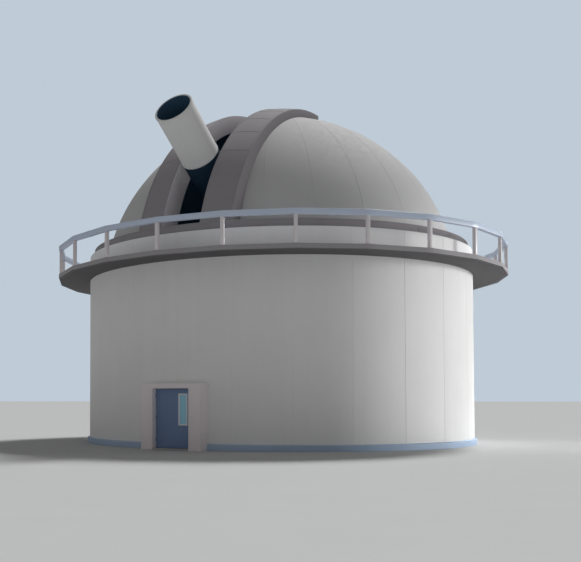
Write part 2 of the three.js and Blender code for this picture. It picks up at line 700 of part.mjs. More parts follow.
buildFloor();
buildPlinth();
buildWall();
buildPortal();
buildDeck();
buildRailing();
buildTrack();
buildBaseRing();
buildShell();
buildBands();
buildMount();
buildTelescope();
buildDoorLeaf();
buildDoorPanel();
buildDoorHandle();
buildDoorHinges();

export default observatory;
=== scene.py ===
# Observatory dome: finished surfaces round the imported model.
# Metres, +Z up. The front, with the door and at rest the slit, faces -Y.

import json
import math

import bmesh
import bpy
from mathutils import Matrix, Vector


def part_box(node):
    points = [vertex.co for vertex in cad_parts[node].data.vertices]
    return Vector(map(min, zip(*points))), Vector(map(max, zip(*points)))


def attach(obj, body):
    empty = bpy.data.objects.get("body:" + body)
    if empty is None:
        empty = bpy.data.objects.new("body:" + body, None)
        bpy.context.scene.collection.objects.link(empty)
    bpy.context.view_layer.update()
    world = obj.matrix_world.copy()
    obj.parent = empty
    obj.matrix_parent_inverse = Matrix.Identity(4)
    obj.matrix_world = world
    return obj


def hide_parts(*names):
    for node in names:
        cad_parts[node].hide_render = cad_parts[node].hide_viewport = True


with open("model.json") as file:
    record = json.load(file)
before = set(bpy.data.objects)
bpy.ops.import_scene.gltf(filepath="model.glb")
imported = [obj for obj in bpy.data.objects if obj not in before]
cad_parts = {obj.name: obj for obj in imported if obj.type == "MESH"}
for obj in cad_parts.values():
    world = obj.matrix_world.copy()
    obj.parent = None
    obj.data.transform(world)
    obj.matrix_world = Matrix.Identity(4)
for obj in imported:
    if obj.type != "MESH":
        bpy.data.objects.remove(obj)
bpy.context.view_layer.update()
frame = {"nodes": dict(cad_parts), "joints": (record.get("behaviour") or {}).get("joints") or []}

FULL_TURN = 2 * math.pi
UP = Vector((0, 0, 1))
FRONT = Vector((0, -1, 0))

# Camera, as the photograph was taken
CAMERA_AZIMUTH = math.radians(26.2)
CAMERA_DISTANCE = 37.35
CAMERA_HEIGHT = 1.742
AIM_AZIMUTH = math.radians(32.79)
AIM_PITCH = math.radians(1.97)
LENS_MM = 55.31
SENSOR_MM = 36.0
SHIFT_X = 0.2
SHIFT_Y = 0.15

# Light. A broad sun from behind, a soft box low beside the building, and an even fill.
KEY_AZIMUTH = math.radians(172)
KEY_ELEVATION = math.radians(55)
KEY_STRENGTH = 2.75
KEY_ANGLE = math.radians(12)
SIDE_AZIMUTH = math.radians(131)
SIDE_DISTANCE = 24.0
SIDE_HEIGHT = 4.9
SIDE_TILT = math.radians(3)
SIDE_SIZE = (7.7, 9.6)
SIDE_OFFSET = 5.25
SIDE_SPREAD = math.radians(12)
SIDE_POWER = 176.0
FILL_STRENGTH = 0.225
BACKDROP = (0.52, 0.6, 0.68)
FLOOR_COLOUR = (0.52, 0.525, 0.525)
FLOOR_RADIUS = 600.0
FLOOR_SEGMENTS = 96

# Materials. The gloss of paint and metal, and the noise that makes patches, streaks and grain.
PAINT_SPECULAR = 0.15
METAL_SPECULAR = 0.5
NOISE_LOW = 0.3
NOISE_HIGH = 0.7
PATCH_SIZE = 1.4
PATCH_DETAIL = 4.0
STREAK_SIZE = 0.35
STREAK_DETAIL = 5.0
STREAK_STRETCH = (1, 1, 0.06)
GLOSS_SIZE = 0.2
GLOSS_RANGE = 0.07
GRAIN_DETAIL = 6.0

# Fineness of the meshes, and the angles up to which their faces are shaded as one
SEGMENTS = 288
TUBE_SEGMENTS = 96
CORNER_STEPS = 3
ARRIS_STEPS = 2
SMOOTH_ANGLE = math.radians(32)
STRIP_ANGLE = math.radians(14)

# Shares and limits in making the meshes. Cutters overshoot what they cut.
CORNER_SHARE = 0.45
ROUND_PROFILE = 0.5
MERGE_DISTANCE = 1e-5
FLAT_ANGLE = 1e-3
FACE_TOLERANCE = 0.01
DOWNWARD = -0.9
OVERSHOOT = 1.0

# Rounded edges of the plain pieces
ARRIS = 0.008
PORTAL_ARRIS = 0.012
SLAB_ARRIS = 0.006
PIER_ARRIS = 0.02
PLATE_ARRIS = 0.003
SLEEVE_ARRIS = 0.012
HEAD_ARRIS = 0.006
CASTING_ARRIS = 0.01
LEAF_ARRIS = 0.003
WINDOW_ARRIS = 0.002
HANDLE_ARRIS = 0.0015
HINGE_ARRIS = 0.001

# Bolts: seat is a share of the height and crown a share of the width
BOLT_SIDES = 6
BOLT_SEAT = 0.4
BOLT_CROWN = 0.45

# Strips: shoulder is a share of the height and chamfer a share of the width
STRIP_SUNK = 0.01
STRIP_SHOULDER = 0.4
STRIP_CHAMFER = 0.25

# Numbered nodes of the CAD model
WALL_NODES = 5
PLINTH_NODES = 3
RAILING_NODES = 6
HINGE_NODES = 3

# Drum, plinth and portal
JOINTS = 24
JOINT_WIDTH = 0.018
JOINT_DEPTH = 0.009
STEPS_BETWEEN_JOINTS = 12
WALL_BITE = 0.01
PLINTH_SLOPE = 0.025
PORTAL_ROOT = 0.1

# Balcony. The deck's edge and the rail are straight from post to post.
POSTS = 24
STEPS_PER_BAY = 8
DECK_EDGE = 0.012
DRIP_SETBACK = 0.1
DRIP_WIDTH = 0.025
DRIP_DEPTH = 0.015
RAIL_WIDTH = 0.17
RAIL_HEIGHT = 0.184
RAIL_EDGE = 0.015
POST_WIDTH = 0.12
POST_SETBACK = 0.004
POST_SUNK = 0.02

# Foot plates of the posts. The bolts' reaches are inwards from the post's middle.
PLATE_SIDE = 0.11
PLATE_INWARD = 0.12
PLATE_OUTWARD = 0.066
PLATE_HEIGHT = 0.012
PLATE_SUNK = 0.001
PLATE_BOLT_SIDE = 0.085
PLATE_BOLT_REACHES = (-0.035, 0.09)
PLATE_BOLT_WIDTH = 0.03
PLATE_BOLT_HEIGHT = 0.016

# Sleeves where the rail's sections meet. The first lies that many bays round from the front.
SLEEVES = 6
FIRST_SLEEVE = 2.5
SLEEVE_HALF = 0.13
SLEEVE_PROUD = 0.005
SLEEVE_BOLT_SIDE = 0.08
SLEEVE_BOLT_LIFTS = (0.05, 0.13)
SLEEVE_BOLT_WIDTH = 0.022
SLEEVE_BOLT_HEIGHT = 0.01

# Ring beam under the dome and its splice plates
RING_INNER_RADIUS = 6.8
RING_SKIRT_RADIUS = 7.5
RING_SKIRT_DEPTH = 0.12
RING_WEB_DEPTH = 0.012
RING_LIP = 0.045
RING_EDGE = 0.01
RING_PLATES = 24
RING_PLATE_STEPS = 4
RING_PLATE_ANGLE = 0.018
RING_PLATE_SHARE = 0.86
RING_PLATE_THICKNESS = 0.008
RING_BOLT_ANGLE = 0.011
RING_BOLT_SHARES = (0.25, 0.75)
RING_BOLT_WIDTH = 0.026
RING_BOLT_HEIGHT = 0.012

# Dome skin and the cover strips over its sheets
SHELL_THICKNESS = 0.09
SHELL_STEPS = 64
GORES = 24
SEAM_WIDTH = 0.035
SEAM_HEIGHT = 0.0035
SEAM_CLEAR = 1.3
SEAM_STEPS = 72
SEAM_CROWN = math.radians(79)
SEAM_CROWN_WIDTH = 0.06
SEAM_FOOT_CLIMB = 0.006
SEAM_FOOT_WIDTH = 0.08
SEAM_RING_STEPS = 160

# Slit bands. They are cut off level at the ring, above their lowest climb.
BAND_FOOT_RADIUS = 7.57
BAND_TOP = 13.517
BAND_LOWEST = math.radians(12)
BAND_STEPS = 160
BAND_FACE_STEPS = 12
BAND_EDGE = 0.012
BAND_LIP = 0.07
BAND_RECESS = 0.01
CHEEK_WIDTH = 0.07
CHEEK_RADIUS = 6.78
CHEEK_TOLERANCE = 0.005

# Straps across the bands and bolts along their lips
STRAPS = 8
STRAP_LOWEST = math.radians(22)
STRAP_HIGHEST = math.radians(84)
STRAP_STEPS = 8
STRAP_WIDTH = 0.09
STRAP_HEIGHT = 0.006
LIP_BOLTS = 60
LIP_BOLT_LOWEST = math.radians(19)
LIP_BOLT_RANGE = math.radians(70)
LIP_BOLT_WIDTH = 0.024
LIP_BOLT_HEIGHT = 0.008

# Telescope. Its ends and places are measured along the tube from the pivot towards the mouth.
REST_ELEVATION = math.radians(35.5)
TUBE_RADIUS = 0.7
TUBE_BORE = 0.65
TUBE_FRONT = 9.8
TUBE_REAR = -2.55
TUBE_EDGE = 0.01
MOUTH_RADIUS = 0.63
MOUTH_LIP = 0.06
# Behind this place the tube is painted near black: painted shade where it runs into the dome.
PAINTED_SHADE_REACH = 7.62
HOOP_PLACES = (TUBE_FRONT - 0.06, PAINTED_SHADE_REACH + 0.05)
HOOP_HALF = 0.05
HOOP_PROUD = 0.012
BAFFLE_PLACES = (4.5, 6.0, 7.5, 8.7)
BAFFLE_HALF = 0.012
BAFFLE_DEPTH = 0.05
HOOP_SUNK = 0.004
HOOP_EDGE = 0.006

# Sizes taken from the frame
drum_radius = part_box("drum_wall_3")[1].y
wall_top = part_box("drum_wall_3")[1].z
wall_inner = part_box("floor_slab")[1].x
plinth_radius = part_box("plinth_2")[1].y
plinth_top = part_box("plinth_2")[1].z
portal_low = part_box("portal_jamb_left")[0]
portal_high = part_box("portal_lintel")[1]
doorway_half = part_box("door_threshold")[1].x
doorway_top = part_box("drum_wall_over_door")[0].z
deck_low, deck_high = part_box("balcony_deck")
rail_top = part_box("balcony_railing_1")[1].z
ring_low, ring_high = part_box("dome_base_ring")
shell_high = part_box("dome_shell_rear_right")[1]
skin_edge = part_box("dome_shell_right")[0].x
band_low, band_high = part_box("slit_band_right")
slit_half, band_edge = band_low.x, band_high.x
joint_places = {joint["name"]: Vector(joint["pos_m"]) for joint in frame["joints"]}
pivot = joint_places["telescope_tilt"]


def sphere_through(foot_radius, foot, top):
    """Radius and middle height of a sphere, from its top and the circle that it makes below."""
    rise = top - foot
    radius = (foot_radius ** 2 + rise ** 2) / (2 * rise)
    return radius, top - radius


shell_radius, shell_centre = sphere_through(shell_high.x, ring_high.z, shell_high.z)
band_radius, band_centre = sphere_through(BAND_FOOT_RADIUS, ring_high.z, BAND_TOP)
shell_middle = UP * shell_centre
band_middle = UP * band_centre


# Materials

def material(name, colour, roughness, metallic):
    made = bpy.data.materials.new(name)
    made.use_nodes = True
    shader = made.node_tree.nodes["Principled BSDF"]
    shader.inputs["Base Color"].default_value = (*colour, 1.0)
    shader.inputs["Roughness"].default_value = roughness
    shader.inputs["Metallic"].default_value = metallic
    specular = METAL_SPECULAR if metallic > 0 else PAINT_SPECULAR
    shader.inputs["Specular IOR Level"].default_value = specular
    return made, made.node_tree, shader


def noise(tree, size, detail=PATCH_DETAIL, stretch=(1, 1, 1)):
    """Noise in the object's own metres, with lumps of about the given size."""
    place = tree.nodes.new("ShaderNodeTexCoord")
    scale = tree.nodes.new("ShaderNodeMapping")
    scale.inputs["Scale"].default_value = stretch
    texture = tree.nodes.new("ShaderNodeTexNoise")
    texture.inputs["Scale"].default_value = 1 / size
    texture.inputs["Detail"].default_value = detail
    tree.links.new(place.outputs["Object"], scale.inputs["Vector"])
    tree.links.new(scale.outputs["Vector"], texture.inputs["Vector"])
    return texture.outputs["Fac"]


def spread(tree, value, low, high):
    """A noise value mapped from its usual middle range to low and high."""
    mapped = tree.nodes.new("ShaderNodeMapRange")
    mapped.inputs["From Min"].default_value = NOISE_LOW
    mapped.inputs["From Max"].default_value = NOISE_HIGH
    mapped.inputs["To Min"].default_value = low
    mapped.inputs["To Max"].default_value = high
    tree.links.new(value, mapped.inputs["Value"])
    return mapped.outputs["Result"]


def shade(tree, colour, factor):
    """A colour made lighter or darker by a factor near one."""
    tint = tree.nodes.new("ShaderNodeVectorMath")
    tint.operation = "SCALE"
    tint.inputs[0].default_value = colour
    tree.links.new(factor, tint.inputs["Scale"])
    return tint.outputs["Vector"]


def multiply(tree, first, second):
    product = tree.nodes.new("ShaderNodeMath")
    product.operation = "MULTIPLY"
    tree.links.new(first, product.inputs[0])
    tree.links.new(second, product.inputs[1])
    return product.outputs["Value"]


def roughen(tree, shader, height, depth):
    bump = tree.nodes.new("ShaderNodeBump")
    bump.inputs["Distance"].default_value = depth
    tree.links.new(height, bump.inputs["Height"])
    tree.links.new(bump.outputs["Normal"], shader.inputs["Normal"])


def coated(name, colour, roughness, mottle, grain, depth, streak=0.0, metallic=0.0):
    """A painted, rendered or metal surface. Mottle and streak are how far its tone varies in
    patches and in upright runs, and grain and depth are the size and height of its lumps."""
    made, tree, shader = material(name, colour, roughness, metallic)
    tone = spread(tree, noise(tree, PATCH_SIZE), 1 - mottle, 1 + mottle)
    if streak > 0:
        runs = noise(tree, STREAK_SIZE, STREAK_DETAIL, STREAK_STRETCH)
        tone = multiply(tree, tone, spread(tree, runs, 1 - streak, 1 + streak))
    tree.links.new(shade(tree, colour, tone), shader.inputs["Base Color"])
    gloss = spread(tree, noise(tree, GLOSS_SIZE), roughness - GLOSS_RANGE, roughness + GLOSS_RANGE)
    tree.links.new(gloss, shader.inputs["Roughness"])
    roughen(tree, shader, noise(tree, grain, GRAIN_DETAIL), depth)
    return made


wall_paint = coated("wall_render", (0.88, 0.88, 0.875),
                    roughness=0.85, mottle=0.012, grain=0.02, depth=0.004, streak=0.012)
portal_paint = coated("portal_render", (0.92, 0.86, 0.875),
                      roughness=0.8, mottle=0.015, grain=0.015, depth=0.003)
plinth_paint = coated("plinth_paint", (0.44, 0.56, 0.73),
                      roughness=0.7, mottle=0.04, grain=0.02, depth=0.004)
concrete = coated("concrete", (0.42, 0.42, 0.40),
                  roughness=0.85, mottle=0.08, grain=0.01, depth=0.003)
deck_paint = coated("deck_paint", (0.36, 0.345, 0.36),
                    roughness=0.75, mottle=0.03, grain=0.006, depth=0.002)
# Much darker than the deck's own paint: painted shade under the deck.
soffit_painted_shade = coated("soffit_painted_shade", (0.14, 0.135, 0.14),
                      roughness=0.8, mottle=0.03, grain=0.01, depth=0.002)
rail_paint = coated("rail_paint", (0.58, 0.665, 0.81),
                    roughness=0.35, mottle=0.015, grain=0.004, depth=0.0004)
post_paint = coated("post_paint", (0.80, 0.76, 0.775),
                    roughness=0.4, mottle=0.015, grain=0.004, depth=0.0004)
band_paint = coated("band_paint", (0.315, 0.30, 0.315),
                    roughness=0.72, mottle=0.02, grain=0.006, depth=0.0005)
dome_paint = coated("dome_paint", (0.55, 0.55, 0.55),
                    roughness=0.8, mottle=0.012, grain=0.006, depth=0.0004, streak=0.006)
tube_paint = coated("tube_paint", (0.74, 0.74, 0.735),
                    roughness=0.5, mottle=0.01, grain=0.004, depth=0.0003)
mount_paint = coated("mount_paint", (0.07, 0.085, 0.10),
                     roughness=0.5, mottle=0.04, grain=0.004, depth=0.0004)
# Near-black navy for the tube's rear: painted shade on the tube inside the slit.
tube_painted_shade = coated("tube_painted_shade", (0.014, 0.038, 0.068),
                    roughness=0.9, mottle=0.05, grain=0.004, depth=0.0004)
lining_paint = coated("lining_paint", (0.27, 0.5, 0.7),
                      roughness=0.9, mottle=0.05, grain=0.02, depth=0.002)
bore_paint = coated("bore_paint", (0.05, 0.115, 0.19),
                    roughness=0.9, mottle=0.05, grain=0.004, depth=0.0004)
# Much lighter than the bands' own paint: painted light on the cheek faces that stand in the slit's
# shade.
cheek_painted_light = coated("cheek_painted_light", (0.72, 0.69, 0.72),
                     roughness=0.75, mottle=0.02, grain=0.006, depth=0.0005)
inner_paint = coated("inner_paint", (0.5, 0.53, 0.56),
                     roughness=0.9, mottle=0.05, grain=0.02, depth=0.002)
track_steel = coated("track_steel", (0.35, 0.36, 0.37),
                     roughness=0.4, mottle=0.05, grain=0.003, depth=0.0003, metallic=0.9)
door_paint = coated("door_paint", (0.21, 0.30, 0.49),
                    roughness=0.45, mottle=0.02, grain=0.003, depth=0.0003)
frame_paint = coated("frame_paint", (0.85, 0.88, 0.92),
                     roughness=0.35, mottle=0.01, grain=0.003, depth=0.0002)
glass_tint = coated("door_glass", (0.41, 0.8, 0.97),
                    roughness=0.12, mottle=0.01, grain=0.3, depth=0.0002)
handle_steel = coated("handle_steel", (0.6, 0.61, 0.62),
                      roughness=0.3, mottle=0.02, grain=0.002, depth=0.0001, metallic=1.0)


# Mesh making

def on_circle(radius, angle, height):
    """A point round the axis; the angle runs from the front, -Y, towards +X."""
    return Vector((radius * math.sin(angle), -radius * math.cos(angle), height))


def from_axis(face):
    """How far a face's middle lies from the upright axis."""
    return math.hypot(*face.calc_center_median().xy)


def settled(bm):
    """A mesh with its faces all pointing out."""
    bmesh.ops.recalc_face_normals(bm, faces=bm.faces)
    return bm


def softened(profile, radius):
    """A closed outline with its corners rounded."""
    points = [Vector(p) for p in profile]
    made = []
    for i, corner in enumerate(points):
        before = points[i - 1] - corner
        after = points[(i + 1) % len(points)] - corner
        reach = min(radius, before.length * CORNER_SHARE, after.length * CORNER_SHARE)
        start = corner + before.normalized() * reach
        end = corner + after.normalized() * reach
        for k in range(CORNER_STEPS + 1):
            t = k / CORNER_STEPS
            made.append(start.lerp(corner, t).lerp(corner.lerp(end, t), t))
    return made


def bridge(bm, rows):
    """Faces from each closed row of corners to the next."""
    for here, there in zip(rows, rows[1:]):
        for j, corner in enumerate(here):
            k = (j + 1) % len(here)
            bm.faces.new((corner, here[k], there[k], there[j]))


def close_ends(bm, rows):
    bm.faces.new(rows[0])
    bm.faces.new(rows[-1])


def turned(profile, gap=0.0, segments=SEGMENTS):
    """A closed outline of radius and height turned round the axis. A gap leaves out a stretch
    at the front with upright sides that far from the middle."""
    bm = bmesh.new()
    columns = segments + 1 if gap > 0 else segments
    rows = []
    for i in range(columns):
        row = []
        for radius, height in profile:
            edge = math.asin(gap / radius) if gap > 0 else 0.0
            angle = edge + (FULL_TURN - 2 * edge) * i / segments
            row.append(bm.verts.new(on_circle(radius, angle, height)))
        rows.append(row)
    if gap > 0:
        bridge(bm, rows)
        close_ends(bm, rows)
    else:
        bridge(bm, rows + rows[:1])
    bmesh.ops.remove_doubles(bm, verts=bm.verts, dist=MERGE_DISTANCE)
    return settled(bm)


def block(low, high):
    bm = bmesh.new()
    bmesh.ops.create_cube(bm, size=1.0)
    size = [b - a for a, b in zip(low, high)]
    middle = [(a + b) / 2 for a, b in zip(low, high)]
    bmesh.ops.scale(bm, vec=size, verts=bm.verts)
    bmesh.ops.translate(bm, vec=middle, verts=bm.verts)
    return bm


def arris(bm, width=ARRIS):
    """Rounds every sharp edge of a mesh."""
    sharp = [e for e in bm.edges if len(e.link_faces) == 2 and e.calc_face_angle() > SMOOTH_ANGLE]
    bmesh.ops.bevel(
        bm, geom=sharp, offset=width, segments=ARRIS_STEPS, profile=ROUND_PROFILE,
        affect="EDGES", clamp_overlap=True,
    )
    return bm


def copied(node):
    """A CAD node's solid as a mesh with its flat faces whole."""
    bm = bmesh.new()
    bm.from_mesh(frame["nodes"][node].data)
    bmesh.ops.remove_doubles(bm, verts=bm.verts, dist=MERGE_DISTANCE)
    bmesh.ops.dissolve_limit(bm, angle_limit=FLAT_ANGLE, verts=bm.verts, edges=bm.edges)
    return bm


def spun(bm, angle):
    """A mesh turned round the upright axis."""
    bmesh.ops.transform(bm, matrix=Matrix.Rotation(angle, 4, "Z"), verts=bm.verts)
    return bm


def bolt(bm, place, outward, width, height):
    """A hexagon head that stands on a face."""
    turn = outward.to_track_quat("Z", "Y").to_matrix().to_4x4()
    middle = Matrix.Translation(place + outward * height * BOLT_SEAT)
    bmesh.ops.create_cone(
        bm, cap_ends=True, segments=BOLT_SIDES, radius1=width / 2, radius2=width * BOLT_CROWN,
        depth=height, matrix=middle @ turn,
    )


def strip(bm, stations, width, height):
    """A flat strip along stations, each a point, the way out of the face and the way across."""
    rows = []
    for point, outward, across in stations:
        half = across * width / 2
        lift = outward * height
        shoulder = lift * STRIP_SHOULDER
        sunk = outward * STRIP_SUNK
        edge = across * min(height, width * STRIP_CHAMFER)
        corners = (
            point - half - sunk, point - half + shoulder, point - half + edge + lift,
            point + half - edge + lift, point + half + shoulder, point + half - sunk,
        )
        rows.append([bm.verts.new(corner) for corner in corners])
    bridge(bm, rows)
    close_ends(bm, rows)


def meshed(name, bm):
    """The edited mesh bm, which is freed, as a mesh for an object."""
    mesh = bpy.data.meshes.new(name)
    bm.to_mesh(mesh)
    bm.free()
    return mesh


def added(name, data):
    """A mesh, a light or a camera as an object in the scene."""
    made = bpy.data.objects.new(name, data)
    bpy.context.scene.collection.objects.link(made)
    return made


def join(*parts):
    whole = bmesh.new()
    for part in parts:
        mesh = meshed("part", part)
        whole.from_mesh(mesh)
        bpy.data.meshes.remove(mesh)
    return whole


def cut(bm, cutter):
    """bm less cutter, both closed."""
    objects = [added("cut", meshed("cut", part)) for part in (bm, cutter)]
    modifier = objects[0].modifiers.new("cut", "BOOLEAN")
    modifier.operation = "DIFFERENCE"
    modifier.solver = "EXACT"
    modifier.object = objects[1]
    graph = bpy.context.evaluated_depsgraph_get()
    result = bmesh.new()
    result.from_mesh(objects[0].evaluated_get(graph).to_mesh())
    for made in objects:
        mesh = made.data
        bpy.data.objects.remove(made)
        bpy.data.meshes.remove(mesh)
    return result


# Pieces

def numbered(stem, count):
    return [f"{stem}_{i}" for i in range(1, count + 1)]


def paint_faces(bm, index, test):
    for face in bm.faces:
        if test(face):
            face.material_index = index


def piece(name, bm, body, finish, replaces=(), smooth=SMOOTH_ANGLE):
    """A mesh as a named piece that rides on a body; finish is one material or a list."""
    mesh = meshed(name, bm)
    mesh.shade_smooth()
    mesh.set_sharp_from_angle(angle=smooth)
    for paint in finish if isinstance(finish, list) else [finish]:
        mesh.materials.append(paint)
    made = added(name, mesh)
    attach(made, body)
    if replaces:
        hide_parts(*replaces)


def refined(node, ending, edge, body, finish):
    """A piece in place of a CAD node: the node's own shape with rounded edges."""
    piece(f"{node}_{ending}", arris(copied(node), edge), body, finish, [node])


def repaint(node, finish):
    """A CAD node that stays, with its finished material."""
    mesh = frame["nodes"][node].data
    mesh.materials.clear()
    mesh.materials.append(finish)


# Drum, plinth and portal

def wall_plan():
    """Angles round the wall, each with the outer radius there, which dips at the joints."""
    bay = FULL_TURN / JOINTS
    half = JOINT_WIDTH / 2 / drum_radius
    plan = []
    for i in range(JOINTS):
        joint = bay * i
        plan.append((joint - half, drum_radius))
        plan.append((joint, drum_radius - JOINT_DEPTH))
        plan.append((joint + half, drum_radius))
        for k in range(1, STEPS_BETWEEN_JOINTS):
            plan.append((joint + bay * k / STEPS_BETWEEN_JOINTS, drum_radius))
    return plan


def jointed_wall():
    """The drum's wall all round, with an upright vee joint at every bay."""
    bm = bmesh.new()
    rows = []
    for angle, outer in wall_plan():
        corners = ((outer, 0), (outer, wall_top), (wall_inner, wall_top), (wall_inner, 0))
        rows.append([bm.verts.new(on_circle(radius, angle, height)) for radius, height in corners])
    bridge(bm, rows + rows[:1])
    return settled(bm)


def make_drum_wall():
    nodes = numbered("drum_wall", WALL_NODES)
    nodes += ["drum_wall_door_left", "drum_wall_door_right", "drum_wall_over_door"]
    doorway = block(
        (-doorway_half, -drum_radius - OVERSHOOT, -OVERSHOOT), (doorway_half, 0, doorway_top),
    )
    bm = cut(jointed_wall(), doorway)
    paint_faces(bm, 1, lambda face: from_axis(face) < wall_inner + FACE_TOLERANCE)
    piece("drum_wall", bm, "building", [wall_paint, inner_paint], nodes)


def make_plinth():
    inner = drum_radius - WALL_BITE
    profile = softened([
        (inner, 0), (plinth_radius, 0), (plinth_radius, plinth_top - PLINTH_SLOPE),
        (inner, plinth_top),
    ], ARRIS)
    bm = turned(profile, gap=portal_high.x)
    nodes = numbered("plinth", PLINTH_NODES)
    piece("plinth", bm, "building", plinth_paint, nodes)


def make_portal():
    back = -drum_radius + PORTAL_ROOT
    outside = block((portal_low.x, portal_low.y, 0), (portal_high.x, back, portal_high.z))
    inside = block(
        (-doorway_half, portal_low.y - OVERSHOOT, -OVERSHOOT),
        (doorway_half, back + OVERSHOOT, doorway_top),
    )
    bm = arris(cut(outside, inside), PORTAL_ARRIS)
    nodes = ["portal_jamb_left", "portal_jamb_right", "portal_lintel"]
    piece("door_portal", bm, "building", portal_paint, nodes)


def make_concrete():
    for node in ("floor_slab", "door_threshold"):
        refined(node, "finished", SLAB_ARRIS, "building", concrete)
    refined("telescope_pier", "finished", PIER_ARRIS, "building", concrete)


# Balcony

def straight_share(angle):
    """How far out a straight side lies at an angle, as a share of its corners' radius."""
    bay = FULL_TURN / POSTS
    off = (angle % bay) - bay / 2
    return math.cos(bay / 2) / math.cos(off)


def ring_with_sides(profile, straight):
    """A closed profile carried round the axis. Points marked straight follow a side from post
    to post, and the others a circle."""
    bm = bmesh.new()
    count = POSTS * STEPS_PER_BAY
    rows = []
    for i in range(count):
        angle = FULL_TURN * i / count
        share = straight_share(angle)
        row = []
        for (radius, height), on_side in zip(profile, straight):
            row.append(bm.verts.new(on_circle(radius * (share if on_side else 1), angle, height)))
        rows.append(row)
    bridge(bm, rows + rows[:1])
    return settled(bm)


def make_deck():
    """The deck's slab with a drip groove under its edge, and painted shade on its underside."""
    inner = drum_radius - WALL_BITE
    outer = deck_high.x
    groove_outer = outer - DRIP_SETBACK
    groove_inner = groove_outer - DRIP_WIDTH
    groove_top = deck_low.z + DRIP_DEPTH
    profile = softened([
        (inner, deck_low.z), (groove_inner, deck_low.z), (groove_inner, groove_top),
        (groove_outer, groove_top), (groove_outer, deck_low.z), (outer, deck_low.z),
        (outer, deck_high.z), (inner, deck_high.z),
    ], DECK_EDGE)
    straight = [point.x > (inner + outer) / 2 for point in profile]
    bm = ring_with_sides(profile, straight)
    # Downward faces take the darker paint: painted shade on the deck's underside.
    paint_faces(bm, 1, lambda face: face.normal.z < DOWNWARD)
    finish = [deck_paint, soffit_painted_shade]
    piece("balcony_deck_slab", bm, "building", finish, ["balcony_deck"])


def make_rail():
    outer = deck_high.x
    inner = outer - RAIL_WIDTH
    bottom = rail_top - RAIL_HEIGHT
    profile = softened([
        (inner, bottom), (outer, bottom), (outer, rail_top), (inner, rail_top),
    ], RAIL_EDGE)
    bm = ring_with_sides(profile, [True] * len(profile))
    nodes = numbered("balcony_railing", RAILING_NODES)
    piece("balcony_rail", bm, "building", rail_paint, nodes)
    make_posts(outer - RAIL_WIDTH / 2 - POST_SETBACK, bottom + POST_SUNK)
    make_sleeves(outer, inner, bottom)


def make_posts(centre, top):
    """The rail's posts, each with a bolted plate at its foot."""
    half = POST_WIDTH / 2
    floor = deck_high.z
    posts = []
    for i in range(POSTS):
        post = arris(block((-half, -centre - half, floor), (half, -centre + half, top)))
        plate = foot_plate(centre, floor)
        turn = FULL_TURN * i / POSTS
        posts += [spun(post, turn), spun(plate, turn)]
    piece("railing_posts", join(*posts), "building", post_paint)


def foot_plate(centre, floor):
    top = floor + PLATE_HEIGHT
    low = (-PLATE_SIDE, -centre - PLATE_OUTWARD, floor - PLATE_SUNK)
    plate = arris(block(low, (PLATE_SIDE, -centre + PLATE_INWARD, top)), PLATE_ARRIS)
    for side in (-PLATE_BOLT_SIDE, PLATE_BOLT_SIDE):
        for reach in PLATE_BOLT_REACHES:
            place = Vector((side, -centre + reach, top))
            bolt(plate, place, UP, PLATE_BOLT_WIDTH, PLATE_BOLT_HEIGHT)
    return plate


def make_sleeves(outer, inner, bottom):
    """Bolted sleeves where the rail's sections meet."""
    flat = math.cos(math.pi / POSTS)
    face = -outer * flat - SLEEVE_PROUD
    back = -inner * flat + SLEEVE_PROUD
    top = rail_top + SLEEVE_PROUD / 2
    sleeves = []
    for i in range(SLEEVES):
        low = (-SLEEVE_HALF, face, bottom - SLEEVE_PROUD)
        sleeve = arris(block(low, (SLEEVE_HALF, back, top)), SLEEVE_ARRIS)
        for side in (-SLEEVE_BOLT_SIDE, SLEEVE_BOLT_SIDE):
            for lift in SLEEVE_BOLT_LIFTS:
                place = Vector((side, face, bottom + lift))
                bolt(sleeve, place, FRONT, SLEEVE_BOLT_WIDTH, SLEEVE_BOLT_HEIGHT)
        bays = i * (POSTS // SLEEVES) + FIRST_SLEEVE
        sleeves.append(spun(sleeve, FULL_TURN * bays / POSTS))
    piece("rail_splices", join(*sleeves), "building", rail_paint)


# Ring beam under the dome

def make_base_ring():
    """The ring beam, a web between two lips, with splice plates on its web."""
    low, high = ring_low.z, ring_high.z
    under = low + RING_SKIRT_DEPTH
    inner, outer = RING_INNER_RADIUS, ring_high.x
    web = outer - RING_WEB_DEPTH
    profile = softened([
        (inner, under), (RING_SKIRT_RADIUS, under), (RING_SKIRT_RADIUS, low), (outer, low),
        (outer, low + RING_LIP), (web, low + RING_LIP), (web, high - RING_LIP),
        (outer, high - RING_LIP), (outer, high), (inner, high),
    ], RING_EDGE)
    bm = turned(profile)
    paint_faces(bm, 1, lambda face: from_axis(face) < inner + FACE_TOLERANCE)
    plates = bmesh.new()
    for i in range(RING_PLATES):
        angle = FULL_TURN * (i + 0.5) / RING_PLATES
        add_ring_plate(plates, angle, web, low + RING_LIP, high - RING_LIP)
    finish = [band_paint, lining_paint]
    piece("dome_ring_beam", bm, "dome", finish, ["dome_base_ring"])
    piece(
        "ring_splice_plates", settled(plates), "dome", band_paint,
        smooth=STRIP_ANGLE,
    )


